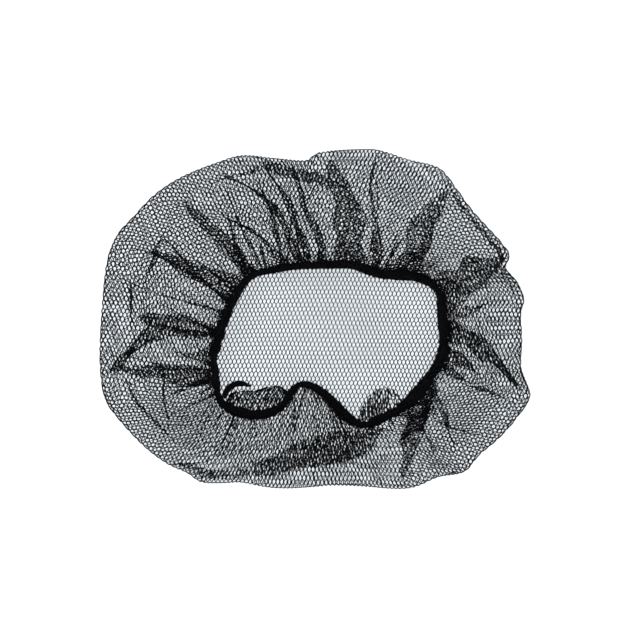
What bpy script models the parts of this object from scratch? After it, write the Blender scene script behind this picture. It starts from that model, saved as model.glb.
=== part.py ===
"""A hairnet lying on a table with its open side up.

The net is one bag: a flat crown on the table, a soft fold at the outline, and a gathered ring
that comes back over the crown to the elastic band. Two tucks of the ring reach in under the
band. The band is a closed loop, and the free end of its elastic lies beside it.
"""

import math
from collections import namedtuple

import bmesh
import bpy
from mathutils import Vector

# Overall sizes, in metres
SPREAD_LENGTH = 0.280
SPREAD_WIDTH = 0.2235
OPENING_LENGTH = 0.149
OPENING_WIDTH = 0.1055
OPENING_SHIFT_X = 0.0085
OPENING_SHIFT_Y = -0.0175

# Net
NET_WALL = 0.001
FOLD_HEIGHT = 0.0075
CREST_HEIGHT = 0.0175
CREST_SWELL = 0.0022
PLEAT_HEIGHT = 0.0080
GATHER_HEIGHT = 0.0022
TUCK_REACH = 0.0175
TUCK_ROOM = 0.0012

# The net's lower edge lies in soft waves, and touches the table in this many places
TABLE_WAVE = 0.0006
TABLE_TOUCHES = 4

# Elastic
ELASTIC_THICKNESS = 0.0046
RIM_HEIGHT = 0.0125
RIM_WAVE = 0.0022
TAIL_LENGTH = 0.025
TAIL_THICKNESS = 0.0030
CLEARANCE = 0.0003

# Each section is a line across the ring, from the outline to the band, clockwise from the left.
# edge_x, edge_y: place on the outline, as shares of the spread from its middle
# rim_x, rim_y: place on the band, as shares of the opening from its middle
# tuck: how far the net reaches in under the band, as a share of the tuck's reach
# girth: thickness of the band there, as a share of the elastic's thickness
Section = namedtuple("Section", "edge_x edge_y rim_x rim_y tuck girth")
SECTIONS = [Section(*row) for row in (
    (-0.502, -0.085, -0.498, -0.049, 0.00, 0.80),
    (-0.498, 0.015, -0.467, 0.111, 0.00, 0.90),
    (-0.488, 0.149, -0.432, 0.235, 0.00, 1.00),
    (-0.467, 0.237, -0.410, 0.290, 0.00, 1.00),
    (-0.423, 0.301, -0.389, 0.346, 0.00, 1.00),
    (-0.374, 0.365, -0.367, 0.395, 0.00, 1.00),
    (-0.309, 0.418, -0.332, 0.438, 0.00, 0.85),
    (-0.221, 0.462, -0.279, 0.463, 0.00, 0.80),
    (-0.167, 0.480, -0.218, 0.475, 0.00, 0.80),
    (-0.095, 0.471, -0.157, 0.494, 0.00, 0.85),
    (-0.026, 0.465, -0.092, 0.500, 0.00, 1.00),
    (-0.009, 0.474, -0.061, 0.500, 0.00, 1.05),
    (0.009, 0.488, -0.031, 0.500, 0.00, 1.00),
    (0.047, 0.494, 0.022, 0.503, 0.00, 1.00),
    (0.107, 0.497, 0.079, 0.503, 0.00, 0.95),
    (0.151, 0.494, 0.127, 0.494, 0.00, 1.05),
    (0.214, 0.468, 0.192, 0.457, 0.00, 1.20),
    (0.286, 0.444, 0.262, 0.438, 0.00, 1.20),
    (0.321, 0.395, 0.314, 0.435, 0.00, 1.20),
    (0.367, 0.316, 0.376, 0.432, 0.00, 1.20),
    (0.449, 0.199, 0.445, 0.395, 0.00, 1.20),
    (0.442, 0.152, 0.480, 0.346, 0.00, 1.25),
    (0.467, 0.114, 0.493, 0.290, 0.00, 1.30),
    (0.486, 0.064, 0.489, 0.228, 0.00, 1.25),
    (0.478, 0.015, 0.493, 0.160, 0.00, 1.15),
    (0.481, -0.061, 0.502, 0.056, 0.00, 1.10),
    (0.479, -0.143, 0.493, -0.043, 0.00, 1.15),
    (0.500, -0.219, 0.463, -0.142, 0.00, 1.25),
    (0.474, -0.278, 0.424, -0.216, 0.00, 1.35),
    (0.428, -0.345, 0.376, -0.296, 0.00, 1.40),
    (0.381, -0.395, 0.332, -0.364, 0.37, 1.40),
    (0.347, -0.444, 0.297, -0.401, 0.74, 1.30),
    (0.286, -0.459, 0.258, -0.420, 0.85, 1.25),
    (0.233, -0.488, 0.218, -0.451, 1.00, 1.20),
    (0.186, -0.494, 0.166, -0.494, 0.93, 1.20),
    (0.126, -0.488, 0.118, -0.475, 0.41, 1.25),
    (0.074, -0.485, 0.070, -0.420, 0.00, 1.25),
    (0.037, -0.485, 0.017, -0.340, 0.00, 1.20),
    (0.000, -0.488, -0.035, -0.272, 0.00, 1.10),
    (-0.035, -0.491, -0.087, -0.228, 0.00, 1.00),
    (-0.067, -0.493, -0.131, -0.222, 0.00, 1.00),
    (-0.100, -0.491, -0.162, -0.253, 0.00, 1.05),
    (-0.135, -0.485, -0.175, -0.321, 0.44, 1.05),
    (-0.174, -0.475, -0.214, -0.389, 0.85, 1.15),
    (-0.221, -0.477, -0.288, -0.420, 0.74, 1.30),
    (-0.267, -0.474, -0.354, -0.420, 0.67, 1.40),
    (-0.299, -0.447, -0.419, -0.395, 0.59, 1.45),
    (-0.345, -0.421, -0.463, -0.358, 0.30, 1.30),
    (-0.398, -0.371, -0.485, -0.302, 0.00, 1.05),
    (-0.451, -0.301, -0.487, -0.247, 0.00, 0.95),
    (-0.488, -0.237, -0.487, -0.185, 0.00, 0.80),
    (-0.500, -0.164, -0.496, -0.117, 0.00, 0.75),
)]
COLUMNS_PER_SECTION = 3

# Each pleat is a ridge between two places on the ring.
# outer, inner: the section number at each end
# outer_depth, inner_depth: share of the way from the outline to the band at each end
# width: half its width, as a share of the ring's width
# height: share of the pleat height
Pleat = namedtuple("Pleat", "outer outer_depth inner inner_depth width height")
PLEATS = [Pleat(*row) for row in (
    (1.2, 0.32, 1.4, 1.00, 0.10, 0.90),
    (2.9, 0.30, 3.4, 0.85, 0.13, 0.60),
    (5.4, 0.25, 5.5, 1.00, 0.11, 0.85),
    (6.9, 0.15, 8.6, 0.55, 0.08, 0.80),
    (8.6, 0.55, 9.4, 1.00, 0.08, 0.95),
    (9.0, 0.05, 10.4, 1.00, 0.10, 0.60),
    (12.9, 0.12, 14.0, 1.00, 0.10, 1.00),
    (15.6, 0.40, 16.2, 1.00, 0.08, 0.50),
    (17.2, 0.35, 18.9, 1.00, 0.08, 0.70),
    (18.5, 0.20, 19.2, 0.95, 0.09, 0.75),
    (20.8, 0.10, 21.8, 1.00, 0.12, 0.80),
    (26.8, 0.15, 23.9, 0.95, 0.13, 0.60),
    (30.0, 0.35, 28.4, 1.00, 0.12, 0.45),
    (32.7, 0.15, 30.1, 1.00, 0.13, 0.65),
    (33.6, 0.95, 37.5, 0.42, 0.11, 0.45),
    (37.5, 0.42, 45.5, 0.12, 0.09, 0.60),
    (50.6, 0.15, 0.9, 0.45, 0.10, 0.50),
    (49.5, 0.45, 49.6, 1.00, 0.10, 0.60),
)]
# From one section to the next, as a share of the ring's width
STEP_SHARE = 0.2

# depth: share of the way from the outline to the band
# height: share of the crest height
Rise = namedtuple("Rise", "depth height")
RISES = [Rise(*row) for row in (
    (0.00, 0.41),
    (0.15, 0.62),
    (0.40, 0.85),
    (0.70, 1.00),
    (0.90, 0.92),
    (1.00, 0.80),
)]
RING_DEPTHS = (0.15, 0.32, 0.49, 0.66, 0.80, 0.91)
CROWN_SHARE = 0.8

# The soft fold at the outline, from the table up: turn in degrees, and share of its full reach
FOLD_TURNS = ((-90.0, 0.0), (-30.0, 1.0), (30.0, 1.0), (90.0, 0.0))

# The free end, from where it leaves the band: x and y as shares of its length, and
# height as a share of the drop from the band to the crown.
Lie = namedtuple("Lie", "x y height")
TAIL_LIES = [Lie(*row) for row in (
    (0.00, 0.00, 1.00),
    (0.00, 0.12, 0.97),
    (0.07, 0.24, 0.85),
    (0.20, 0.33, 0.65),
    (0.36, 0.365, 0.38),
    (0.53, 0.335, 0.14),
    (0.69, 0.275, 0.00),
)]
TAIL_SECTION = 47.5
TAIL_STEPS = 3

NET_BLACK = (0.012, 0.012, 0.014, 1.0)
ELASTIC_BLACK = (0.006, 0.006, 0.007, 1.0)


def clear_scene():
    for item in list(bpy.data.objects):
        bpy.data.objects.remove(item, do_unlink=True)


def make_material(name, colour, roughness):
    material = bpy.data.materials.new(name)
    material.use_nodes = True
    shader = material.node_tree.nodes["Principled BSDF"]
    shader.inputs["Base Color"].default_value = colour
    shader.inputs["Roughness"].default_value = roughness
    shader.inputs["Metallic"].default_value = 0.0
    return material


def smooth(share):
    """Ease from 0 to 1."""
    share = max(0.0, min(1.0, share))
    return share * share * (3.0 - 2.0 * share)


def through(before, start, end, after, share):
    """A point between start and end on the smooth curve through four values."""
    bend = 2.0 * before - 5.0 * start + 4.0 * end - after
    swing = 3.0 * (start - end) + after - before
    return start + 0.5 * share * (end - before + share * (bend + share * swing))


def round_table(column, at):
    """The smooth value of a column of the section table at a section number."""
    base = math.floor(at)
    count = len(SECTIONS)
    near = [getattr(SECTIONS[(base + step) % count], column) for step in (-1, 0, 1, 2)]
    return through(*near, at - base)


def edge_point(at):
    x = SPREAD_LENGTH * round_table("edge_x", at)
    y = SPREAD_WIDTH * round_table("edge_y", at)
    return Vector((x, y, 0.0))


def rim_height(at):
    turn = 2.0 * math.pi * at / len(SECTIONS)
    return RIM_HEIGHT + RIM_WAVE * (0.6 * math.sin(2.0 * turn + 0.7) + 0.4 * math.sin(5.0 * turn))


def rim_point(at):
    """A point on the centreline of the band."""
    x = OPENING_SHIFT_X + OPENING_LENGTH * round_table("rim_x", at)
    y = OPENING_SHIFT_Y + OPENING_WIDTH * round_table("rim_y", at)
    return Vector((x, y, rim_height(at)))


def rim_outward(at):
    """The level direction away from the opening, square to the band."""
    step = 0.05
    along = rim_point(at + step) - rim_point(at - step)
    return Vector((-along.y, along.x, 0.0)).normalized()


def band_radius(at):
    return 0.5 * ELASTIC_THICKNESS * round_table("girth", at)


def pleat_share(pleat, at, depth):
    """Height of one pleat at a place on the ring, as a share of the pleat height."""
    count = len(SECTIONS)
    run = (pleat.inner - pleat.outer + count / 2.0) % count - count / 2.0
    away = (at - pleat.outer + count / 2.0) % count - count / 2.0
    run_x = run * STEP_SHARE
    run_y = pleat.inner_depth - pleat.outer_depth
    away_x = away * STEP_SHARE
    away_y = depth - pleat.outer_depth
    along = (away_x * run_x + away_y * run_y) / (run_x * run_x + run_y * run_y)
    along = max(0.0, min(1.0, along))
    apart = math.hypot(away_x - along * run_x, away_y - along * run_y)
    return pleat.height * math.exp(-(apart / pleat.width) ** 2)


def pleats(at, depth):
    """Joined height of the pleats, where the higher one wins softly."""
    total = sum(pleat_share(pleat, at, depth) ** 3 for pleat in PLEATS)
    fade = smooth(depth / 0.12) * smooth((1.08 - depth) / 0.25)
    return PLEAT_HEIGHT * fade * total ** (1.0 / 3.0)


def gathers(at, depth):
    """Fine gathers that grow towards the band."""
    turn = 2.0 * math.pi * at / len(SECTIONS)
    wave = 0.6 * math.sin(37.0 * turn) + 0.4 * math.sin(23.0 * turn + 1.3)
    return GATHER_HEIGHT * wave * smooth((depth - 0.3) / 0.5) * smooth((1.05 - depth) / 0.15)


def rise(depth):
    """Height of the ring between its folds, as a share of the crest height."""
    for low, high in zip(RISES, RISES[1:]):
        if depth <= high.depth:
            share = (depth - low.depth) / (high.depth - low.depth)
            return low.height + share * (high.height - low.height)
    return RISES[-1].height


def round_band(at, degrees, reach):
    """A point beside the band: 180 degrees is outside it, 270 is under it, 360 is inside."""
    turn = math.radians(degrees)
    away = -math.cos(turn) * rim_outward(at)
    away.z = math.sin(turn)
    return rim_point(at) + reach * away


def rim_rows(at):
    """The net's last four rows, which wrap the band from below or make a tuck."""
    tuck = max(0.0, round_table("tuck", at))
    wrap = smooth(tuck / 0.6)
    room = TUCK_ROOM * 4.0 * wrap * (1.0 - wrap)
    reach = band_radius(at) + CLEARANCE + 0.5 * NET_WALL + room
    inward = Vector((0.0, wrap * max(0.0, tuck * TUCK_REACH - 0.5 * reach), 0.0))
    drop = NET_WALL * wrap
    return [
        round_band(at, 180.0 + 45.0 * wrap, reach),
        round_band(at, 192.0 + 80.0 * wrap, reach + 0.4 * drop),
        round_band(at, 204.0 + 96.0 * wrap, reach + drop) + inward,
        round_band(at, 216.0 + 154.0 * wrap, reach),
    ]


def table_lift(at):
    """How far the net's lower edge stands off the table."""
    turn = 2.0 * math.pi * at / len(SECTIONS)
    return TABLE_WAVE * 0.5 * (1.0 + math.cos(TABLE_TOUCHES * turn + 1.2))


def net_column(at):
    """The middle of the net's wall along one section, from the crown's centre to the band."""
    edge = edge_point(at)
    rim = rim_rows(at)
    inward = (rim[0] - edge) * Vector((1.0, 1.0, 0.0))
    inward.normalize()
    half_wall = 0.5 * NET_WALL
    lift = table_lift(at)
    bend = 0.5 * (FOLD_HEIGHT - NET_WALL - lift)
    turn_centre = edge + (bend + half_wall) * inward
    turn_centre.z = half_wall + lift + bend
    level = half_wall + TABLE_WAVE
    column = [Vector((0.0, 0.0, level))]
    column.append(Vector((CROWN_SHARE * edge.x, CROWN_SHARE * edge.y, level)))
    for degrees, reach in FOLD_TURNS:
        point = turn_centre - bend * reach * inward
        point.z += bend * math.sin(math.radians(degrees))
        column.append(point)
    start = column[-1]
    swell = CREST_SWELL * math.sin(3.0 * 2.0 * math.pi * at / len(SECTIONS) + 0.4)
    for depth in RING_DEPTHS:
        point = start.lerp(rim[0], depth)
        rest = FOLD_HEIGHT - half_wall - RISES[0].height * CREST_HEIGHT
        height = rise(depth) * CREST_HEIGHT + (1.0 - depth) * rest
        height += swell * math.sin(math.pi * depth) + pleats(at, depth) + gathers(at, depth)
        low = start.z * (1.0 - depth) + rim[0].z * depth
        blend = smooth((1.0 - depth) / 0.3)
        point.z = low + blend * (height - low)
        column.append(point)
    return column + rim


def make_net():
    """The bag of net: a grid of columns shaped over the sections, then given its wall."""
    columns = len(SECTIONS) * COLUMNS_PER_SECTION
    places = [net_column(index / COLUMNS_PER_SECTION) for index in range(columns)]
    rows = len(places[0])
    shape = bmesh.new()
    bmesh.ops.create_grid(shape, x_segments=columns, y_segments=rows - 1, size=1.0)
    for vert in shape.verts:
        column = round(0.5 * (vert.co.x + 1.0) * columns) % columns
        row = round(0.5 * (vert.co.y + 1.0) * (rows - 1))
        vert.co = places[column][row]
    bmesh.ops.remove_doubles(shape, verts=shape.verts, dist=1e-6)
    bmesh.ops.recalc_face_normals(shape, faces=shape.faces)
    mesh = bpy.data.meshes.new("net")
    shape.to_mesh(mesh)
    shape.free()
    mesh.shade_smooth()
    net = bpy.data.objects.new("net", mesh)
    bpy.context.collection.objects.link(net)
    wall = net.modifiers.new("wall", "SOLIDIFY")
    wall.thickness = NET_WALL
    wall.offset = 0.0
    net.data.materials.append(make_material("black nylon net", NET_BLACK, 0.55))


def make_cord(name, points, radii, closed):
    """A round cord along a list of points, with a radius at each."""
    curve = bpy.data.curves.new(name, "CURVE")
    curve.dimensions = "3D"
    curve.bevel_depth = 1.0
    curve.bevel_resolution = 2
    curve.use_fill_caps = not closed
    spline = curve.splines.new("POLY")
    spline.points.add(len(points) - 1)
    for knot, point, radius in zip(spline.points, points, radii):
        knot.co = (*point, 1.0)
        knot.radius = radius
    spline.use_cyclic_u = closed
    cord = bpy.data.objects.new(name, curve)
    bpy.context.collection.objects.link(cord)
    curve.materials.append(make_material(f"{name} covered rubber", ELASTIC_BLACK, 0.7))


def make_band():
    steps = 2 * len(SECTIONS)
    places = [index / 2 for index in range(steps)]
    points = [rim_point(at) for at in places]
    radii = [band_radius(at) for at in places]
    make_cord("elastic_band", points, radii, closed=True)


def make_tail():
    """The free end: it leaves the band's inner side and comes down to lie on the crown."""
    radius = 0.5 * TAIL_THICKNESS
    aside = band_radius(TAIL_SECTION) + CLEARANCE + radius
    root = rim_point(TAIL_SECTION) - aside * rim_outward(TAIL_SECTION)
    floor = NET_WALL + TABLE_WAVE + CLEARANCE + radius
    knots = []
    for lie in TAIL_LIES:
        height = floor + lie.height * (root.z - floor)
        knots.append(Vector((root.x + lie.x * TAIL_LENGTH, root.y + lie.y * TAIL_LENGTH, height)))
    points = []
    for index in range(len(knots) - 1):
        before = knots[max(index - 1, 0)]
        after = knots[min(index + 2, len(knots) - 1)]
        for step in range(TAIL_STEPS):
            share = step / TAIL_STEPS
            points.append(through(before, knots[index], knots[index + 1], after, share))
    points.append(knots[-1])
    make_cord("elastic_tail", points, [radius] * len(points), closed=False)


def centre_on_origin():
    """Stand the middle of the net's box over the origin."""
    bpy.context.view_layer.update()
    view = bpy.context.evaluated_depsgraph_get()
    corners = bpy.data.objects["net"].evaluated_get(view).bound_box
    low = Vector(corners[0])
    high = Vector(corners[6])
    middle = 0.5 * (low + high)
    for item in bpy.data.objects:
        item.location = (-middle.x, -middle.y, -low.z)


clear_scene()
make_net()
make_band()
make_tail()
centre_on_origin()
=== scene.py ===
"""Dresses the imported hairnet: knotted nylon net, ruched elastic with a free end, and a pale table.

The net is knotted flat as six-sided cells, and its cut is then laid over the frame: a flat crown,
a soft fold at the outline, and a gathered ring that comes back to the elastic.
"""

import math
from collections import namedtuple

import bmesh
import bpy
import numpy as np
from bpy.props import FloatProperty, FloatVectorProperty, PointerProperty
from mathutils import Matrix, Vector
from mathutils.bvhtree import BVHTree


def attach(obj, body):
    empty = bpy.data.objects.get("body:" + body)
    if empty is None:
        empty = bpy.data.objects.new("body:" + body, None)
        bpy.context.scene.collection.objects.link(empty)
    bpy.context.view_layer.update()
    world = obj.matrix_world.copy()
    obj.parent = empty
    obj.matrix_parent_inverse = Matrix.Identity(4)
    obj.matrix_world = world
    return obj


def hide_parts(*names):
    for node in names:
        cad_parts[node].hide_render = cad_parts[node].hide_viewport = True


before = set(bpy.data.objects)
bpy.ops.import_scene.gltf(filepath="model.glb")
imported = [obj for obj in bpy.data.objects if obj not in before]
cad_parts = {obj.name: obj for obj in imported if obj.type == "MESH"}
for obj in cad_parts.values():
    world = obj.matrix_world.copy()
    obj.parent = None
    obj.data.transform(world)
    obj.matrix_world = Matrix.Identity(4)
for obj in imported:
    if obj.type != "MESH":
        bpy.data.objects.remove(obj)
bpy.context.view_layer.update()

bl_info = {
    "name": "Hairnet",
    "version": (1, 0, 0),
    "blender": (4, 5, 0),
    "location": "3D View > Sidebar > Hairnet",
    "description": "Knots the net, covers the elastic and sets the table for a lying hairnet",
    "category": "Object",
}

# The lines of net that run out from the crown, clockwise from the left side of the net.
# turn: degrees round the outline; share: how far round the elastic that line is caught
Catch = namedtuple("Catch", "turn share")
CATCHES = [Catch(*row) for row in (
    (-8, 0.000), (22, 0.086), (47, 0.130), (76, 0.191), (91, 0.233), (111, 0.286),
    (136, 0.351), (165, 0.413), (179, 0.458), (199, 0.532), (217, 0.600), (240, 0.646),
    (255, 0.702), (266, 0.745), (295, 0.900), (326, 0.954), (345, 0.984),
)]

# Folds of the ring that lie over, as places on the table in millimetres: near the outline, midway,
# and near the elastic.
# outer, middle, inner: how far the fold laps over itself at those places, in millimetres
# lean: 1 where the lap lies clockwise, -1 where it lies the other way
Fold = namedtuple("Fold", "outer_x outer_y middle_x middle_y inner_x inner_y outer middle inner lean")
FOLDS = [Fold(*row) for row in (
    (-59, 92, -28, 75, -10, 37, 2, 6, 6, 1),
    (-81, 73, -66, 56, -46, 36, 3, 10, 11, 1),
    (-104, 43, -77, 30, -54, 22, 4, 12, 14, 1),
    (-31, 98, -17, 73, -5, 40, 2, 5, 6, 1),
    (-14, 98, -7, 74, 5, 44, 1.5, 4, 6, 1),
    (-59, 66, -42, 58, -20, 36, 1.5, 3.5, 7, 1),
    (-110, 1, -89, -4, -64, -8, 7, 13, 12, -1),
    (9, 101, 21, 74, 23, 40, 6, 19, 19, -1),
    (38, 103, 35, 81, 39, 37, 1.5, 2.5, 5, -1),
    (39, 88, 40, 66, 42, 37, 1, 2, 3, -1),
    (88, 84, 71, 64, 62, 38, 2, 17, 18, 1),
    (120, 37, 105, 31, 84, 18, 10, 22, 24, 1),
    (112, 10, 98, 5, 84, 2, 2, 8, 14, -1),
    (129, -40, 110, -19, 86, -7, 8, 15, 15, -1),
    (107, -37, 97, -29, 85, -21, 0.5, 8, 14, -1),
    (90, -81, 85, -66, 76, -44, 1.5, 4, 10, -1),
    (100, -42, 93, -37, 83, -29, 0.5, 5, 10, -1),
    (79, -62, 73, -57, 67, -51, 0.5, 10, 14, 1),
    (56, -101, 62, -77, 68, -58, 5, 16, 27, 1),
    (-129, -34, -110, -9, -66, -10, 11, 12, 4, -1),
    (-127, -31, -91, -36, -66, -36, 4, 12, 18, 1),
    (-91, -20, -78, -25, -66, -25, 0.5, 6, 12, -1),
)]

# Folds of the ring that run along the outline, as places on their outer edge in millimetres on the
# table.
# number: which fold the place belongs to
# width: how far the fold laps over itself there, in millimetres
Crease = namedtuple("Crease", "number x y width")
CREASES = [Crease(*row) for row in (
    (1, -93, -94, 0), (1, -84, -99, 5), (1, -69, -104, 8), (1, -49, -104.5, 11), (1, -34, -102, 13),
    (1, -23, -100.5, 16), (1, -10, -98, 19), (1, 3, -97, 23), (1, 16, -94, 25), (1, 29, -90, 19),
    (1, 36, -84, 13), (1, 42, -75, 5), (1, 45, -70, 0), (2, -68, 88, 0), (2, -58, 92, 2),
    (2, -44, 96, 3), (2, -33, 103, 6), (2, -20, 101, 9), (2, -6, 96, 8), (2, 5, 90, 6), (2, 12, 85, 0),
    (3, 89, 93, 0), (3, 96, 83, 2), (3, 105, 70, 3), (3, 114, 53, 3), (3, 122, 41, 1.5),
    (3, 125, 37, 0), (4, -97, 55, 0), (4, -104, 47, 3), (4, -107, 38, 4), (4, -109, 29, 2),
    (4, -112, 20, 0), (5, -120, 25, 0), (5, -121, 19, 1.5), (5, -120, 7, 1.5), (5, -118, -4, 0),
    (6, -122, -44, 0), (6, -118, -51, 1.5), (6, -105, -66, 2), (6, -95, -76, 1.5), (6, -86, -84, 0),
    (7, -97, -40, 0), (7, -97, -47, 1.5), (7, -96, -66, 1.5), (7, -96, -76, 0),
)]

# How much of its own length the ring's cloth keeps between the outline and the elastic: below 1 it is
# drawn out, above 1 it lies slack. turn: degrees round the outline
Slack = namedtuple("Slack", "turn kept")
SLACKS = [Slack(*row) for row in (
    (0, 0.90), (36, 0.86), (60, 0.95), (90, 0.96), (110, 0.84), (132, 0.66), (150, 0.84), (168, 1.00),
    (182, 1.10), (200, 1.08), (213, 0.92), (231, 0.72), (243, 0.70), (255, 0.62), (285, 0.60), (300, 0.62),
    (314, 0.68), (335, 0.82),
)]

# How far the cloth is drawn out round the ring where it lies in one layer
EASE = 0.92

# Fine folds take up the cloth that the folds above leave over.
# begin, spread: how far in from the outline they begin, and how much that varies
Fine = namedtuple("Fine", "count begin spread width")
FINE_FOLDS = (Fine(46, 0.30, 0.26, 0.0040), Fine(74, 0.60, 0.14, 0.0020))

# The cloth in the bend of one fold, the height of one lapped layer, and the narrowest fold that is laid
FOLD_BEND = 0.0009
LAYER_HEIGHT = 0.0009
NARROWEST_FOLD = 0.0003

# The ring lies nearly smooth at the lower left: the turn at its middle, and how far it reaches
SMOOTH_PART = (0.800, 0.115)

# The grid that the net is laid on: columns round the outline, and rows of each part
COLUMNS = 1440
FOLD_ROWS = 7
PLAN_ROWS = 49
RING_ROWS = 85
TUCK_ROWS = 13
WRAP_ROWS = 9


def linear(code):
    """The linear colour of an sRGB hex value."""
    parts = [int(code[at:at + 2], 16) / 255.0 for at in (1, 3, 5)]
    return [part / 12.92 if part <= 0.04045 else ((part + 0.055) / 1.055) ** 2.4 for part in parts]


def colour(name, description, code):
    return FloatVectorProperty(name=name, description=description, default=linear(code), subtype="COLOR")


def length(name, description, default):
    return FloatProperty(name=name, description=description, default=default, unit="LENGTH", precision=5)


class NetSizes(bpy.types.PropertyGroup):
    cell_width: length("Cell width", "Across one six-sided cell, side to side", 0.00262)
    row_height: length("Row height", "From one row of cells to the next", 0.0028)
    cell_side: length("Cell side", "Length of a cell's upright side", 0.00115)
    thread: length("Thread", "Thickness of the nylon thread", 0.00085)
    lean: FloatProperty(name="Lean", description="How far the columns of cells lean over the rows",
                        default=math.radians(4.5), subtype="ANGLE")
    fold_height: length("Fold height", "Height of the soft fold at the outline", 0.0028)
    outline_height: length("Outline height", "Height at which the frame reaches furthest out", 0.0033)
    gather_height: length("Gather height", "Height of the fine gathers next to the elastic", 0.0022)
    thread_colour: colour("Thread colour", "Dyed nylon thread", "#0b0c0f")


class ElasticSizes(bpy.types.PropertyGroup):
    ruche_length: length("Ruche length", "From one ruche of the cover to the next", 0.0013)
    ruche_depth: length("Ruche depth", "Depth of the ruches", 0.00030)
    winding: length("Winding", "Thickness of the thread wound round the elastic", 0.00034)
    cover_colour: colour("Cover colour", "Covered elastic", "#050507")


class StageSizes(bpy.types.PropertyGroup):
    view_width: length("View width", "Width of the table that the camera sees", 0.416)
    camera_height: length("Camera height", "Height of the camera over the table", 5.0)
    table_colour: colour("Table colour", "Pale table", "#fbfbfb")
    glow: FloatProperty(name="Glow", description="How brightly the table is lit from below", default=0.80)
    glow_colour: colour("Glow colour", "Cool white light from below", "#f4faff")
    room_light: FloatProperty(name="Room light", description="Brightness of the soft room", default=0.36)
    room_colour: colour("Room colour", "Cool white light of the room", "#f6fbff")


GROUPS = {"hairnet_net": NetSizes, "hairnet_elastic": ElasticSizes, "hairnet_stage": StageSizes}


def smooth(share):
    share = np.clip(share, 0.0, 1.0)
    return share * share * (3.0 - 2.0 * share)


def blur_round(values, reach):
    """Smooth values round the ring with a bell of that many columns, along the first axis."""
    count = len(values)
    steps = np.fft.fftfreq(count, 1.0 / count)
    bell = np.exp(-2.0 * (math.pi * reach * steps / count) ** 2)
    bell = bell.reshape((count,) + (1,) * (values.ndim - 1))
    return np.fft.ifft(np.fft.fft(values, axis=0) * bell, axis=0).real


def node_tree(name):
    """A search tree over a node's own surface."""
    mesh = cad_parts[name].data
    corners = [vert.co.copy() for vert in mesh.vertices]
    return BVHTree.FromPolygons(corners, [tuple(face.vertices) for face in mesh.polygons])


def node_points(name):
    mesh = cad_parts[name].data
    points = np.empty(len(mesh.vertices) * 3)
    mesh.vertices.foreach_get("co", points)
    return points.reshape(-1, 3)


def walk_cord(name, here, heading, reach, closed):
    """The centreline of a cord, walked from one end along its node's surface points."""
    points = node_points(name)
    stops = []
    while len(stops) < 900:
        for _ in range(3):
            away = points - here
            weight = np.exp(-(away * away).sum(axis=1) / (2.0 * reach * reach))
            middle = (points * weight[:, None]).sum(axis=0) / weight.sum()
            spread = ((points - middle) * weight[:, None]).T @ (points - middle)
            lie = np.linalg.eigh(spread)[1][:, -1]
            heading = lie if lie @ heading > 0.0 else -lie
            here = middle + heading * ((here - middle) @ heading)
        if closed and len(stops) > 20 and np.linalg.norm(here - stops[0]) < 0.0012:
            return np.array(stops)
        near = points[np.linalg.norm(points - here, axis=1) < 2.0 * reach]
        if not closed and ((near - here) @ heading).max() < 0.0006:
            return np.array(stops)
        stops.append(here)
        here = here + 0.001 * heading
    raise RuntimeError(f"the line of {name} has no end")


def band_line(count):
    """The centreline and radius of the elastic, clockwise from its left end, read off its node."""
    points = node_points("elastic_band")
    stops = walk_cord("elastic_band", points[points[:, 0].argmin()], np.array([0.0, 1.0, 0.0]), 0.0035, True)
    line = even_line(np.vstack([stops, stops[:1]]), count + 1)[:-1]
    line = blur_round(line, 0.003 * count)
    radius = np.empty(count)
    for at, stop in enumerate(line):
        apart = np.linalg.norm(points - stop, axis=1)
        radius[at] = np.sort(apart)[:8].mean()
    return line, blur_round(radius, 0.004 * count)


def even_line(points, count):
    """The same line with evenly spaced points."""
    along = np.concatenate([[0.0], np.cumsum(np.linalg.norm(np.diff(points, axis=0), axis=1))])
    even = np.linspace(0.0, along[-1], count)
    return np.stack([np.interp(even, along, points[:, axis]) for axis in range(3)], axis=1)


def round_sample(values, share):
    """Values sampled round a closed ring at shares of a turn."""
    count = len(values)
    at = (share % 1.0) * count
    low = np.floor(at).astype(int) % count
    part = (at - np.floor(at))[:, None] if values.ndim > 1 else at - np.floor(at)
    return values[low] * (1.0 - part) + values[(low + 1) % count] * part


def crossing(plan, depths, x, y):
    """The turn and depth at which the ring comes nearest a place in millimetres."""
    apart = np.hypot(plan[:, :, 0] - 0.001 * x, plan[:, :, 1] - 0.001 * y)
    column, row = np.unravel_index(apart.argmin(), apart.shape)
    return column / COLUMNS, depths[row]


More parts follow.
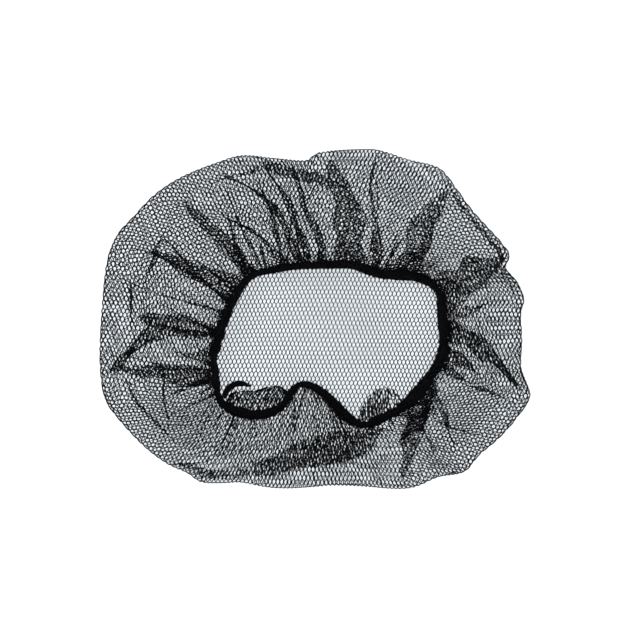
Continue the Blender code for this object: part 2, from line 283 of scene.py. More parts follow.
def fold_lines(plan, depths):
    """Each fold's line and lap row by row: turns, widths, lean, and whether the photograph shows it."""
    lines = []
    for number, fold in enumerate(FOLDS):
        stops = []
        for x, y, width in ((*fold[0:2], fold.outer), (*fold[2:4], fold.middle), (*fold[4:6], fold.inner)):
            turn, depth = crossing(plan, depths, x, y)
            stops.append((depth, turn, 0.001 * width))
        at, turn, width = np.array(sorted(stops)).T
        turn = turn[0] + (turn - turn[0] + 0.5) % 1.0 - 0.5
        begin = max(at[0] - 0.06, 0.01)
        sharp = np.clip((depths - begin) / 0.07, 0.0, 1.0)
        uneven = 1.0 + 0.18 * np.sin(17.0 * depths + 2.3 * number)
        wander = 0.0012 * np.sin(13.0 * depths + number)
        line = blur_rows(np.interp(depths, at, turn)) + wander
        lines.append((line, sharp * uneven * np.interp(depths, at, width), fold.lean, True))
    for count, first, spread, wide in FINE_FOLDS:
        for number in range(count):
            wander = math.sin(12.9 * number + count) + math.sin(5.7 * number + 1.0)
            turn = (number + 0.35 * wander) / count + 0.011 * np.sin(2.5 * depths + 2.0 * number)
            begin = first + spread * math.sin(7.3 * number + 2.0)
            uneven = 1.0 + 0.2 * np.sin(23.0 * depths + number)
            width = wide * (1.0 + 0.45 * math.sin(3.1 * number)) * uneven
            width = width * np.where(abs(turn % 1.0 - SMOOTH_PART[0]) < SMOOTH_PART[1], 0.2, 1.0)
            grown = np.clip((depths - begin) / (1.0 - begin), 0.0, 1.0)
            lean = 1 if math.sin(9.1 * number + 0.5) > 0.0 else -1
            lines.append((turn, width * grown, lean, False))
    return lines


def crease_lines(plan, depths):
    """Each fold along the outline column by column: the depth of its outer edge, and its width."""
    lines = []
    turns = np.arange(COLUMNS) / COLUMNS
    for number in sorted({crease.number for crease in CREASES}):
        stops = []
        for crease in CREASES:
            if crease.number == number:
                turn, depth = crossing(plan, depths, crease.x, crease.y)
                stops.append((turn, depth, 0.001 * crease.width))
        turn, depth, width = np.array(stops).T
        turn = turn[0] + (turn - turn[0] + 0.5) % 1.0 - 0.5
        order = np.argsort(turn)
        turn, depth, width = turn[order], depth[order], width[order]
        at = turn[0] + (turns - turn[0]) % 1.0
        depth = np.interp(at, turn, depth) + 0.006 * np.sin(140.0 * turns + number)
        lines.append((depth, np.interp(at, turn, width, right=0.0)))
    return lines


def blur_rows(values):
    """Soften the bends of one fold's line."""
    ends = np.concatenate([np.repeat(values[:1], 3), values, np.repeat(values[-1:], 3)])
    return np.convolve(ends, np.ones(7) / 7.0, mode="valid")


def crease_columns(grid, creases, path):
    """Lay each column of the ring with its folds along the outline: the finer grid of places, and
    how much longer each column is for them."""
    rows = grid.shape[1] - 1
    laid = np.empty((COLUMNS, RING_ROWS, 3))
    longer = np.empty(COLUMNS)
    for at in range(COLUMNS):
        bend = FOLD_BEND / path[at]
        along, depth, spots, levels = [0.0], [0.0], [0.0], [0.0]
        offset = 0.0
        for near, width in sorted((lines[at], widths[at]) for lines, widths in creases):
            if width < NARROWEST_FOLD:
                continue
            near = max(near, 0.015)
            far = min(near + width / path[at], 0.96)
            turned = far + offset
            back = turned + bend + far - near
            offset = back + bend - near
            tall = LAYER_HEIGHT * min(width / 0.003, 1.0)
            along += [turned, turned + bend, back, back + bend]
            depth += [far, far, near, near]
            spots += [turned - 0.03, turned, back, far + offset, far + offset + 0.08]
            levels += [0.0, 0.5 * tall, 1.5 * tall, 2.0 * tall, 0.0]
        along.append(1.0 + offset)
        depth.append(1.0)
        longer[at] = 1.0 + offset
        even = np.linspace(0.0, longer[at], RING_ROWS)
        place = np.interp(even, along, depth) * rows
        low = np.minimum(place.astype(int), rows - 1)
        part = (place - low)[:, None]
        laid[at] = grid[at, low] * (1.0 - part) + grid[at, low + 1] * part
        order = np.argsort(spots, kind="stable")
        laid[at, :, 2] += np.interp(even, np.array(spots)[order], np.array(levels)[order])
    return laid, longer


def lap(plan, flat_reach, lines, row):
    """Lay one row of the ring with its folds: where round the row each column of the flat net comes to
    lie, how far the lapped layers lift it, and which columns lie in a lap."""
    step = np.linalg.norm(np.roll(plan, -1, axis=0) - plan, axis=1)
    cloth = flat_reach * 2.0 * math.pi / COLUMNS
    marked, spare = np.zeros(COLUMNS), np.zeros(COLUMNS)
    for turn, width, lean, shown in lines:
        kind = marked if shown else spare
        kind[int(turn[row] % 1.0 * COLUMNS)] += 2.0 * width[row]
    marked = blur_round(marked, 60)
    room = blur_round(cloth, 60) / EASE - blur_round(step, 60) - marked
    room = np.clip(room / np.maximum(blur_round(spare, 60), 1e-7), 0.0, 1.4)
    folds = []
    taken = np.zeros(COLUMNS)
    for turn, width, lean, shown in lines:
        column = int(turn[row] % 1.0 * COLUMNS)
        wide = width[row] if shown else width[row] * room[column]
        if wide > NARROWEST_FOLD:
            bend = FOLD_BEND * min(wide / 0.003, 1.0)
            folds.append((turn[row] % 1.0, wide, lean, bend))
            taken[column] += 2.0 * (wide + bend)
    crowd = blur_round(cloth, 40) / blur_round(step + taken, 40)
    around = np.concatenate([[0.0], np.cumsum(step)])
    used = np.concatenate([[0.0], np.cumsum(step * crowd)])
    whole, whole_used = around[-1], used[-1]
    grid = np.arange(COLUMNS + 1) / COLUMNS

    def used_at(place):
        lap_count = np.floor(place / whole)
        return np.interp(place - lap_count * whole, around, used) + lap_count * whole_used

    folds.sort()
    knots_used, knots_place, doubled, knots_lift, levels = [], [], [], [], []
    offset = 0.0
    now = -whole
    every = np.concatenate([around[:-1] - whole, around[:-1], around[:-1] + whole, around[:1] + 2 * whole])
    every_used = np.concatenate([used[:-1] - whole_used, used[:-1], used[:-1] + whole_used,
                                 used[:1] + 2 * whole_used])
    for turn_count in (-1, 0, 1):
        for turn, width, lean, bend in folds:
            middle = np.interp(turn, grid, around) + turn_count * whole
            far, near = middle + 0.5 * width, middle - 0.5 * width
            first, last = np.searchsorted(every, [now, far])
            knots_used.append(every_used[first:last] + offset)
            knots_place.append(every[first:last])
            used_far, used_near = used_at(far), used_at(near)
            starts = used_near + offset
            turned = used_far + offset
            back = turned + bend + used_far - used_near
            offset = back + bend - used_near
            ends = used_far + offset
            knots_used.append([turned, turned + bend, back, back + bend])
            knots_place.append([far, far, near, near])
            tall = LAYER_HEIGHT * min(width / 0.004, 1.0)
            if lean > 0:
                doubled.append((turned, ends))
                knots_lift.append([turned - 0.002, turned, back, ends, ends + 0.004])
                levels.append([0.0, 0.6 * tall, 1.6 * tall, 2.0 * tall, 0.0])
            else:
                doubled.append((starts, back + bend))
                knots_lift.append([starts - 0.004, starts, turned, back, back + 0.002])
                levels.append([0.0, 2.0 * tall, 1.4 * tall, 0.4 * tall, 0.0])
            now = near
    first = np.searchsorted(every, now)
    knots_used.append(every_used[first:] + offset)
    knots_place.append(every[first:])
    knots_used = np.concatenate(knots_used)
    knots_place = np.concatenate(knots_place)
    order = np.argsort(knots_used, kind="stable")
    knots_used, knots_place = knots_used[order], knots_place[order]

    flat = np.concatenate([[0.0], np.cumsum(cloth)])
    flat = flat[:-1] * ((knots_used[-1] - knots_used[0]) / 3.0) / flat[-1]
    flat = flat + knots_used[0] + (knots_used[-1] - knots_used[0]) / 3.0
    slip = 0.0
    for _ in range(3):
        place = np.interp(flat + slip, knots_used, knots_place)
        slip -= (place - around[:-1]).mean()
    flat = flat + slip
    place = np.interp(flat, knots_used, knots_place)
    place = around[:-1] + blur_round(place - around[:-1], 0.8)
    lifted = np.zeros(COLUMNS)
    under = np.zeros(COLUMNS, dtype=bool)
    for spots, tall, (begin, end) in zip(knots_lift, levels, doubled):
        lifted = np.maximum(lifted, np.interp(flat, spots, tall, left=0.0, right=0.0))
        under |= (flat > begin) & (flat < end)
    lap_count = np.floor(place / whole)
    turn = np.interp(place - lap_count * whole, around, grid) + lap_count
    return turn, blur_round(lifted, 1.5), under


def outline_reach(net, facing, level):
    """How far out the frame's net reaches in each direction, at that height."""
    reach = np.empty(COLUMNS)
    for at, (x, y) in enumerate(facing):
        start = Vector((0.25 * x, 0.25 * y, level))
        hit = net.ray_cast(start, Vector((-x, -y, 0.0)))[0]
        reach[at] = math.hypot(hit.x, hit.y)
    return reach


def catch_line(turns):
    """Where each column of net is caught on the elastic: its centre, its radius, and the level
    direction away from the opening."""
    band, radius = band_line(COLUMNS)
    caught = [catch.turn / 360.0 for catch in CATCHES]
    shares = [catch.share for catch in CATCHES]
    share = np.interp(turns, caught + [1.0 + caught[0]], shares + [1.0])
    share = turns + blur_round(share - turns, 18)
    along = np.roll(band, -3, axis=0) - np.roll(band, 3, axis=0)
    outward = np.stack([-along[:, 1], along[:, 0]], axis=1)
    outward /= np.linalg.norm(outward, axis=1)[:, None]
    outward = round_sample(outward, share)
    outward /= np.linalg.norm(outward, axis=1)[:, None]
    return round_sample(band, share), round_sample(radius, share), outward


def flap_reach(net, rim, outward):
    """How far the frame's net flaps over the elastic into the opening, column by column."""
    tuck = np.zeros(COLUMNS)
    for at in range(COLUMNS):
        if outward[at, 1] < -0.2:
            for step in range(3, 26):
                spot = Vector((rim[at, 0], rim[at, 1] + 0.001 * step, 0.05))
                hit = net.ray_cast(spot, Vector((0.0, 0.0, -1.0)))[0]
                if hit is None or hit.z < 0.003:
                    break
                tuck[at] = 0.001 * step
    return blur_round(tuck, 8)


def ring_height(net, plan, start, finish, depths):
    """How high the ring lies, read off the frame's net between the outline and the elastic."""
    height = np.empty((COLUMNS, len(depths)))
    for at in range(COLUMNS):
        for row in range(len(depths)):
            x, y = plan[at, row]
            hit = net.ray_cast(Vector((x, y, 0.05)), Vector((0.0, 0.0, -1.0)))[0]
            height[at, row] = hit.z if hit is not None else 0.0
    level = start[:, None, 2] + depths * (finish - start)[:, None, 2]
    near = smooth((depths - 0.86) / 0.10)
    height = np.where(height < 0.004, level, height)
    height = height * (1.0 - near) + level * near
    height = start[:, None, 2] + (height - start[:, None, 2]) * smooth(0.15 + depths / 0.28)
    return blur_round(height, 3)


def gathers(angle, drift, depths):
    """Soft waves round the ring that grow towards the elastic and sink just before it."""
    spin = angle[:, None]
    ripple = 0.55 * np.sin(31.0 * spin + drift) * smooth((depths - 0.10) / 0.5)
    ripple = ripple + 0.45 * np.sin(67.0 * spin - 2.0 * drift + 1.0) * smooth((depths - 0.35) / 0.4)
    return ripple, 1.0 - 0.7 * smooth((depths - 0.85) / 0.15)


def kept_length(turns):
    """How much of its length the ring's cloth keeps in each column."""
    slack_turns = [slack.turn / 360.0 for slack in SLACKS]
    kept = np.interp(turns, slack_turns + [1.0], [slack.kept for slack in SLACKS] + [SLACKS[0].kept])
    return blur_round(kept, 20)


def lay_out():
    """Where every line and row of the laid net goes: a grid of places, and the length of each part."""
    sizes = bpy.context.scene.hairnet_net
    net = node_tree("net")
    turns = np.arange(COLUMNS) / COLUMNS
    angle = 2.0 * math.pi * turns
    facing = np.stack([-np.cos(angle), np.sin(angle)], axis=1)
    bend = 0.5 * sizes.fold_height
    inner = outline_reach(net, facing, sizes.outline_height) - bend - 0.5 * sizes.thread
    floor = 0.5 * sizes.thread
    rim, radius, outward = catch_line(turns)
    girth = radius + 0.4 * sizes.thread
    tuck = flap_reach(net, rim, outward)
    wrap = smooth(tuck / 0.007)

    def beside(turn, gap, drop=0.0):
        """Points beside the elastic: half a turn is outside it, three quarters is under it."""
        level = -np.cos(turn) * gap
        up = np.sin(turn) * gap
        place = np.empty((COLUMNS, 3))
        place[:, :2] = rim[:, :2] + level[:, None] * outward
        place[:, 2] = rim[:, 2] + up - drop
        return place

    rows = []
    lift = np.linspace(-0.5 * math.pi, 0.5 * math.pi, FOLD_ROWS)
    for turn in lift:
        place = np.empty((COLUMNS, 3))
        place[:, :2] = facing * (inner + bend * math.cos(turn))[:, None]
        place[:, 2] = floor + bend * (1.0 + math.sin(turn))
        rows.append(place)
    start = rows[-1]
    under = math.pi + 0.5 * math.pi * wrap
    finish = beside(under, girth + 0.0006 * wrap)

    depths = np.linspace(0.0, 1.0, PLAN_ROWS)[1:]
    plan = start[:, None, :2] + depths[None, :, None] * (finish - start)[:, None, :2]
    height = ring_height(net, plan, start, finish, depths)
    spin = angle[:, None]
    drift = 1.4 * np.sin(3.0 * spin + 0.4) + 0.9 * np.sin(7.0 * spin + 2.0)
    ripple, sunk = gathers(angle, drift, depths)
    height = height + sizes.gather_height * ripple * sunk
    height = np.maximum(height, 3.0 * sizes.thread)

    path = np.linalg.norm(finish - start, axis=1)
    kept = path * kept_length(turns)
    fold_path = math.pi * bend
    lines = fold_lines(plan, depths)
    ring = [start]
    for row, depth in enumerate(depths):
        flat_reach = inner + fold_path + kept * depth
        last, lift_up, doubled = lap(plan[:, row], flat_reach, lines, row)
        share_in = smooth(depth / 0.08)
        drawn = blur_round(last - turns, 60)
        last = turns + (last - turns - drawn) * share_in + drawn * smooth(depth / 0.5)
        spot = np.empty((COLUMNS, 3))
        spot[:, :2] = round_sample(plan[:, row], last)
        spot[:, 2] = round_sample(height[:, row], last) + lift_up * share_in
        ring.append(spot)
    ring, longer = crease_columns(np.stack(ring, axis=1), crease_lines(plan, depths), path)
    rows.extend(ring[:, at] for at in range(1, RING_ROWS))

    slide = 0.03 * blur_round(wrap * (rim[:, 0] < -0.015), 12)
    for share_in in np.linspace(0.0, 1.0, TUCK_ROWS)[1:]:
        turn = under + (math.pi + wrap * math.radians(190.0) - under) * share_in
        push = math.sin(math.pi * share_in) ** 0.8
        place = beside(turn, girth + 0.0006 * wrap, 0.0025 * wrap * push)
        place[:, 1] += tuck * wrap * push
        rows.append(round_sample(place, last - slide * share_in))
    first = math.pi + wrap * math.radians(190.0)
    final = math.radians(55.0) + wrap * math.radians(400.0)
    bunch = np.sin(127.0 * angle + 3.0 * drift[:, 0]) * np.sin(43.0 * angle + 1.0)
    for share_in in np.linspace(0.0, 1.0, WRAP_ROWS)[1:]:
        turn = first + (final - first) * share_in
        rows.append(round_sample(beside(turn, girth * (1.02 + 0.25 * np.abs(bunch))), last - slide))

    places = np.stack(rows, axis=1)
    gaps = np.linalg.norm(np.diff(places, axis=1), axis=2)
    ring_end = FOLD_ROWS + RING_ROWS - 2
    gaps[:, :FOLD_ROWS - 1] = fold_path / (FOLD_ROWS - 1)
    inward = np.linspace(0.0, 1.0, RING_ROWS)[1:]
    pucker = 0.84 + 0.34 * smooth((inward - 0.10) / 0.70) + 0.7 * smooth((inward - 0.93) / 0.04)
    gaps[:, FOLD_ROWS - 1:ring_end] = (kept * longer / (RING_ROWS - 1))[:, None] * pucker
    gaps[:, ring_end:ring_end + TUCK_ROWS - 1] *= 0.55
    paths = np.concatenate([np.zeros((COLUMNS, 1)), np.cumsum(blur_round(gaps, 10), axis=1)], axis=1)
    tucked = round_sample(wrap, last) > 0.1
    limit = np.where(doubled & tucked, paths[:, ring_end], paths[:, -1])
    return inner, places, paths, limit


def knot_cells():
    """The flat net as six-sided cells: one cell, repeated in rows that sit half a cell apart."""
    sizes = bpy.context.scene.hairnet_net
    shape = bmesh.new()
    bmesh.ops.create_circle(shape, cap_ends=True, segments=6, radius=1.0)
    bmesh.ops.rotate(shape, verts=shape.verts, matrix=Matrix.Rotation(math.pi / 6.0, 3, "Z"))
    point = sizes.row_height - 0.5 * sizes.cell_side
    for vert in shape.verts:
        upright = abs(vert.co.x) > 0.5
        vert.co.x = math.copysign(0.5 * sizes.cell_width, vert.co.x) if upright else 0.0
        vert.co.y = math.copysign(0.5 * sizes.cell_side if upright else point, vert.co.y)
    mesh = bpy.data.meshes.new("cell")
    shape.to_mesh(mesh)
    shape.free()
    cell = bpy.data.objects.new("cell", mesh)
    bpy.context.scene.collection.objects.link(cell)
    across, down = 172, 82
    steps = (
        (2, (0.5 * sizes.cell_width, sizes.row_height, 0.0)),
        (across, (sizes.cell_width, 0.0, 0.0)),
        (down, (0.0, 2.0 * sizes.row_height, 0.0)),
    )
    for count, offset in steps:
        array = cell.modifiers.new("rows", "ARRAY")
        array.count = count
        array.use_relative_offset = False
        array.use_constant_offset = True
        array.constant_offset_displace = offset
        array.use_merge_vertices = True
        array.merge_threshold = 1e-5
    view = bpy.context.evaluated_depsgraph_get()
    flat = bpy.data.meshes.new_from_object(cell.evaluated_get(view))
    bpy.data.objects.remove(cell)
    points = np.empty(len(flat.vertices) * 3)
    flat.vertices.foreach_get("co", points)
    points = points.reshape(-1, 3)
    points[:, 0] -= 0.5 * across * sizes.cell_width
    points[:, 1] -= down * sizes.row_height
    x = points[:, 0] + points[:, 1] * math.tan(sizes.lean)
    y = points[:, 1]
    wave_x = 0.0006 * np.sin(38.0 * y + 0.6) + 0.0003 * np.sin(95.0 * x + 61.0 * y)
    wave_y = 0.0006 * np.sin(33.0 * x + 1.9) + 0.0003 * np.sin(83.0 * y - 57.0 * x + 1.0)
    return flat, np.stack([x + wave_x, y + wave_y], axis=1)


def lay_points(flat, inner, places, paths, limit):
    """Places of flat points once the cut is laid, how far past the crown they are, below 0 on the crown,
    and how far they lie past the end of the cut."""
    sizes = bpy.context.scene.hairnet_net
    away = np.hypot(flat[:, 0], flat[:, 1])
    turn = (np.arctan2(flat[:, 1], -flat[:, 0]) / (2.0 * math.pi)) % 1.0
    past = away - round_sample(inner, turn)
    at = turn * COLUMNS
    low = np.floor(at).astype(int) % COLUMNS
    high = (low + 1) % COLUMNS
    part = at - np.floor(at)
    path = paths[low] * (1.0 - part)[:, None] + paths[high] * part[:, None]
    index = np.clip((path <= past[:, None]).sum(axis=1) - 1, 0, paths.shape[1] - 2)
    pick = np.arange(len(flat))
    begin = path[pick, index]
    end = path[pick, index + 1]
    share = np.clip((past - begin) / np.maximum(end - begin, 1e-9), 0.0, 1.0)
    row = share[:, None]
    first = places[low, index] * (1.0 - part)[:, None] + places[high, index] * part[:, None]
    second = places[low, index + 1] * (1.0 - part)[:, None] + places[high, index + 1] * part[:, None]
    laid = first * (1.0 - row) + second * row
    crown = past < 0.0
    floor = 0.5 * sizes.thread
    laid[crown, :2] = flat[crown]
    ripple = 0.00025 * (1.0 + np.sin(61.0 * flat[:, 0] + 17.0 * flat[:, 1]) * np.sin(47.0 * flat[:, 1] + 1.0))
    laid[crown, 2] = floor + (ripple * smooth(-past / 0.02))[crown]
    return laid, past, past - limit[low]


def beside_line(line, closed):
    """Level and upright directions beside each point of a line."""
    if closed:
        along = np.roll(line, -1, axis=0) - np.roll(line, 1, axis=0)
    else:
        along = np.gradient(line, axis=0)
    along /= np.linalg.norm(along, axis=1)[:, None]
    level = np.stack([-along[:, 1], along[:, 0], np.zeros(len(line))], axis=1)
    level /= np.linalg.norm(level, axis=1)[:, None]
    return level, np.cross(along, level)


def wound(line, gap, spin):
    """A line wound round another at that distance and angle."""
    level, upright = beside_line(line, False)
    return line + (gap * np.cos(spin))[:, None] * level + (gap * np.sin(spin))[:, None] * upright


def cord_mesh(name, line, radius, ruches, depth, closed):
    """A gathered cover round a line: a grid rolled into a tube, ribbed across by its ruches."""
    count, sides = len(line), 16
    level, upright = beside_line(line, closed)
    shape = bmesh.new()
    bmesh.ops.create_grid(shape, x_segments=count if closed else count - 1, y_segments=sides, size=1.0)
    steps = count if closed else count - 1
    for vert in shape.verts:
        at = round(0.5 * (vert.co.x + 1.0) * steps)
        side = round(0.5 * (vert.co.y + 1.0) * sides) % sides
        at = at % count if closed else at
        turn = 2.0 * math.pi * side / sides
        phase = 2.0 * math.pi * ruches * at / count + 0.9 * math.sin(2.0 * turn + 0.05 * at)
        bulge = depth * (math.sin(phase) + 0.5 * math.sin(0.37 * phase + 3.0 * turn))
        reach = radius[at] + bulge * min(1.0, radius[at] / 0.001)
        vert.co = line[at] + reach * (math.cos(turn) * level[at] + math.sin(turn) * upright[at])
    bmesh.ops.remove_doubles(shape, verts=shape.verts, dist=1e-7)
    if not closed:
        open_edges = [edge for edge in shape.edges if edge.is_boundary]
        bmesh.ops.holes_fill(shape, edges=open_edges, sides=0)
    bmesh.ops.recalc_face_normals(shape, faces=shape.faces)
    mesh = bpy.data.meshes.new(name)
    shape.to_mesh(mesh)
    shape.free()
    mesh.shade_smooth()
    return mesh


def thread_mesh(name, lines, radius):
    """Round threads along lines, as one mesh."""
    curve = bpy.data.curves.new(name, "CURVE")
    curve.dimensions = "3D"
    curve.bevel_depth = radius
    curve.bevel_resolution = 0
    curve.use_fill_caps = True
    for points, closed in lines:
        spline = curve.splines.new("POLY")
        spline.points.add(len(points) - 1)
        spline.points.foreach_set("co", np.column_stack([points, np.ones(len(points))]).ravel())
        spline.use_cyclic_u = closed
    holder = bpy.data.objects.new(name, curve)
    bpy.context.scene.collection.objects.link(holder)
    view = bpy.context.evaluated_depsgraph_get()
    mesh = bpy.data.meshes.new_from_object(holder.evaluated_get(view))
    bpy.data.objects.remove(holder)
    mesh.name = name
    mesh.shade_smooth()
    return mesh


def add_piece(name, mesh, material, body, nodes):
    piece = bpy.data.objects.new(name, mesh)
    bpy.context.scene.collection.objects.link(piece)
    mesh.materials.clear()
    mesh.materials.append(material)
    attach(piece, body)
    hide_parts(*nodes)
    return piece


def add_node(tree, kind, links=(), **settings):
    """A shader node with its settings, and links into it as (socket, from node, from socket)."""
    node = tree.nodes.new(kind)
    for name, value in settings.items():
        if name in node.inputs:
            node.inputs[name].default_value = value
        elif name.replace("_", " ").title() in node.inputs:
            node.inputs[name.replace("_", " ").title()].default_value = value
        else:
            setattr(node, name, value)
    for socket, source, output in links:
        tree.links.new(source.outputs[output], node.inputs[socket])
    return node


def thread_material():
    """Dyed nylon thread, twisted and knotted: near black, with a soft grey gleam along the twist."""
    sizes = bpy.context.scene.hairnet_net
    material = bpy.data.materials.new("twisted nylon thread")
    material.use_nodes = True
    tree = material.node_tree
    shader = tree.nodes["Principled BSDF"]
    place = add_node(tree, "ShaderNodeTexCoord")
    grain = add_node(tree, "ShaderNodeTexNoise", [("Vector", place, "Object")], Scale=900.0, Detail=2.0)
    ramp = add_node(tree, "ShaderNodeValToRGB", [("Fac", grain, "Fac")])
    dark = sizes.thread_colour
    ramp.color_ramp.elements[0].color = (dark[0] * 0.6, dark[1] * 0.6, dark[2] * 0.6, 1.0)
    ramp.color_ramp.elements[1].color = (dark[0] * 1.5, dark[1] * 1.5, dark[2] * 1.6, 1.0)
    tree.links.new(ramp.outputs["Color"], shader.inputs["Base Color"])
    bump = add_node(tree, "ShaderNodeBump", [("Height", grain, "Fac")], Strength=0.4, Distance=0.0001)
    tree.links.new(bump.outputs["Normal"], shader.inputs["Normal"])
    shader.inputs["Roughness"].default_value = 0.6
    shader.inputs["Specular IOR Level"].default_value = 0.12
    return material


def cover_material():
    """Elastic with a gathered thread cover: matt black, ribbed across, with hardly any shine."""
    sizes = bpy.context.scene.hairnet_elastic
    material = bpy.data.materials.new("gathered elastic cover")
    material.use_nodes = True
    tree = material.node_tree
    shader = tree.nodes["Principled BSDF"]
    place = add_node(tree, "ShaderNodeTexCoord")
    grain = add_node(tree, "ShaderNodeTexNoise", [("Vector", place, "Object")], Scale=2200.0, Detail=3.0)
    ramp = add_node(tree, "ShaderNodeValToRGB", [("Fac", grain, "Fac")])
    dark = sizes.cover_colour
    ramp.color_ramp.elements[0].color = (dark[0] * 0.5, dark[1] * 0.5, dark[2] * 0.5, 1.0)
    ramp.color_ramp.elements[1].color = (dark[0] * 1.6, dark[1] * 1.6, dark[2] * 1.6, 1.0)
    tree.links.new(ramp.outputs["Color"], shader.inputs["Base Color"])
    bump = add_node(tree, "ShaderNodeBump", [("Height", grain, "Fac")], Strength=0.5, Distance=0.0002)
    tree.links.new(bump.outputs["Normal"], shader.inputs["Normal"])
    shader.inputs["Roughness"].default_value = 0.8
    shader.inputs["Specular IOR Level"].default_value = 0.1
    return material


def table_material():
    """Opal white acrylic, softly lit from below: an even pale ground that shows through every hole of
    the net and takes hardly any shadow."""
    sizes = bpy.context.scene.hairnet_stage
    material = bpy.data.materials.new("opal white acrylic")
    material.use_nodes = True
    shader = material.node_tree.nodes["Principled BSDF"]
    shader.inputs["Base Color"].default_value = (*sizes.table_colour, 1.0)
    shader.inputs["Emission Color"].default_value = (*sizes.glow_colour, 1.0)
    shader.inputs["Emission Strength"].default_value = sizes.glow
    shader.inputs["Roughness"].default_value = 0.9
    shader.inputs["Specular IOR Level"].default_value = 0.2
    return material


class HAIRNET_OT_net(bpy.types.Operator):
    """Knot the net and lay it over the frame"""

    bl_idname = "hairnet.net"
    bl_label = "Net"

    def execute(self, context):
        sizes = context.scene.hairnet_net
        flat, cut = knot_cells()
        inner, places, paths, limit = lay_out()
        laid, past, left_over = lay_points(cut, inner, places, paths, limit)
        flat.vertices.foreach_set("co", laid.ravel())
        shape = bmesh.new()
        shape.from_mesh(flat)
        shape.verts.ensure_lookup_table()
        shape.faces.ensure_lookup_table()
        kept = {"net_crown": [], "net_ring_left": [], "net_ring_right": []}
        for face in shape.faces:
            picks = [vert.index for vert in face.verts]
            if left_over[picks].max() > 0.0:
                continue
            if past[picks].mean() < 0.0:
                kept["net_crown"].append(face.index)
            elif cut[picks, 0].mean() < 0.0:
                kept["net_ring_left"].append(face.index)
            else:
                kept["net_ring_right"].append(face.index)
        material = thread_material()
        for name, faces in kept.items():
            part = shape.copy()
            part.faces.ensure_lookup_table()
            chosen = set(faces)
            spare = [face for face in part.faces if face.index not in chosen]
            bmesh.ops.delete(part, geom=spare, context="FACES")
            bmesh.ops.wireframe(
                part, faces=part.faces[:], thickness=sizes.thread, offset=0.5 * sizes.thread,
                use_replace=True, use_boundary=True, use_even_offset=False)
            mesh = bpy.data.meshes.new(name)
            part.to_mesh(mesh)
            part.free()
            mesh.shade_smooth()
            piece = add_piece(name, mesh, material, "root", ["net"])
        shape.free()
        bpy.data.meshes.remove(flat)
        return {"FINISHED"}


class HAIRNET_OT_elastic(bpy.types.Operator):
    """Cover the elastic and its free end"""

    bl_idname = "hairnet.elastic"
    bl_label = "Elastic"

    def execute(self, context):
        sizes = context.scene.hairnet_elastic
        material = cover_material()
        thread = thread_material()
        line, radius = band_line(COLUMNS)
        length_round = np.linalg.norm(np.roll(line, -1, axis=0) - line, axis=1).sum()
        ruches = round(length_round / sizes.ruche_length)
        cover = cord_mesh("elastic_cover", line, radius * 1.03, ruches, sizes.ruche_depth, True)
        add_piece("elastic_cover", cover, material, "root", ["elastic_band"])

        turns = np.arange(COLUMNS * 5) / (COLUMNS * 5)
        course = round_sample(line, turns)
        girth = round_sample(radius, turns)
        windings = []
        for number, (rounds, slack) in enumerate(((190, 0.9), (-171, 1.3), (233, 0.6))):
            spin = 2.0 * math.pi * rounds * turns + 1.3 * np.sin(2.0 * math.pi * 29 * turns + number)
            stray = np.sin(2.0 * math.pi * (61 + 9 * number) * turns + number)
            stray = stray * np.sin(2.0 * math.pi * 17 * turns + 2.0 * number)
            loose = girth * (1.06 + 0.24 * slack * np.clip(stray, 0.0, 1.0))
            windings.append((wound(course, loose, spin), True))
        mesh = thread_mesh("elastic_windings", windings, 0.5 * sizes.winding)
        add_piece("elastic_windings", mesh, thread, "root", ["elastic_band"])

        points = node_points("elastic_tail")
        root = points[np.argmin([np.linalg.norm(line - point, axis=1).min() for point in points])]
        stops = walk_cord("elastic_tail", root, points.mean(axis=0) - root, 0.0026, False)
        stops = even_line(stops, 160)
        share = np.linspace(0.0, 1.0, len(stops))
        thin = 0.0016 * np.interp(share, [0.0, 0.25, 0.7, 0.93, 1.0], [0.85, 1.0, 0.9, 0.45, 0.15])
        cover = cord_mesh("tail_cover", stops, thin, 19, sizes.ruche_depth, False)
        add_piece("tail_cover", cover, material, "root", ["elastic_tail"])
        strands = []
        for number in range(9):
            spin = 2.0 * math.pi * ((5 + number) * share * (-1) ** number + number / 9.0)
            loose = thin * (1.05 + 0.25 * np.sin(9.0 * share + number) ** 2)
            fray = 0.0011 * smooth((share - 0.80) / 0.2)
            end_at = len(stops) - 9 * (number % 4)
            strand = wound(stops, loose + fray * (0.4 + 0.2 * number / 3.0), spin)[:end_at]
            strands.append((strand, False))
        fork = even_line(stops[112:150], 40) + np.linspace(0.0, 1.0, 40)[:, None] * (0.0, 0.0014, 0.0006)
        strands.append((fork, False))
        mesh = thread_mesh("tail_strands", strands, 0.5 * sizes.winding)
        add_piece("tail_strands", mesh, thread, "root", ["elastic_tail"])
        return {"FINISHED"}


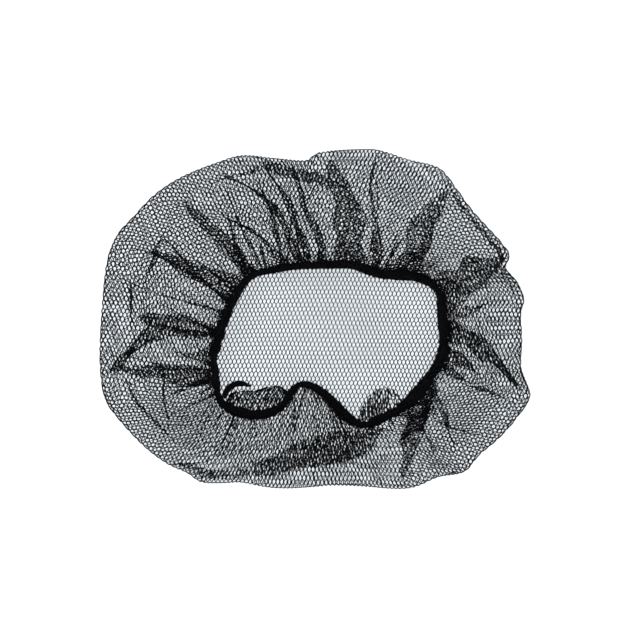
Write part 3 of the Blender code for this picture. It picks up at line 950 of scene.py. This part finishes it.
class HAIRNET_OT_stage(bpy.types.Operator):
    """Set the table, the light and the camera"""

    bl_idname = "hairnet.stage"
    bl_label = "Table, light and camera"

    def execute(self, context):
        scene = context.scene
        sizes = scene.hairnet_stage
        bpy.ops.mesh.primitive_plane_add(size=6.0, location=(0.0, 0.0, 0.0))
        table = context.object
        table.name = "table"
        table.data.materials.append(table_material())
        world = bpy.data.worlds.new("soft room")
        scene.world = world
        world.use_nodes = True
        world.node_tree.nodes["Background"].inputs["Color"].default_value = (*sizes.room_colour, 1.0)
        world.node_tree.nodes["Background"].inputs["Strength"].default_value = sizes.room_light
        for name, place, watts, width in (
            ("key_light", (-0.9, 0.7, 1.5), 8.0, 1.0),
            ("fill_light", (1.1, -0.6, 1.4), 5.0, 1.0),
        ):
            light = bpy.data.lights.new(name, "AREA")
            light.energy = watts
            light.size = width
            lamp = bpy.data.objects.new(name, light)
            lamp.location = place
            lamp.rotation_euler = (-Vector(place)).to_track_quat("-Z", "Y").to_euler()
            scene.collection.objects.link(lamp)
        camera = bpy.data.cameras.new("camera")
        camera.sensor_width = 36.0
        camera.lens = camera.sensor_width * sizes.camera_height / sizes.view_width
        eye = bpy.data.objects.new("camera", camera)
        eye.location = (0.00325, -0.00065, sizes.camera_height)
        scene.collection.objects.link(eye)
        scene.camera = eye
        scene.view_settings.view_transform = "Standard"
        scene.view_settings.look = "None"
        return {"FINISHED"}


class HAIRNET_PT_panel(bpy.types.Panel):
    """Lists the pieces of the hairnet"""

    bl_label = "Hairnet"
    bl_idname = "HAIRNET_PT_panel"
    bl_space_type = "VIEW_3D"
    bl_region_type = "UI"
    bl_category = "Hairnet"

    def draw(self, context):
        for operator in OPERATORS:
            self.layout.operator(operator.bl_idname)


OPERATORS = (HAIRNET_OT_stage, HAIRNET_OT_net, HAIRNET_OT_elastic)
CLASSES = (*GROUPS.values(), *OPERATORS, HAIRNET_PT_panel)


def register():
    for kind in CLASSES:
        bpy.utils.register_class(kind)
    for name, group in GROUPS.items():
        setattr(bpy.types.Scene, name, PointerProperty(type=group))


def unregister():
    for name in GROUPS:
        delattr(bpy.types.Scene, name)
    for kind in reversed(CLASSES):
        bpy.utils.unregister_class(kind)


def main():
    register()
    bpy.ops.hairnet.stage()
    bpy.ops.hairnet.net()
    bpy.ops.hairnet.elastic()


if __name__ == "__main__":
    main()
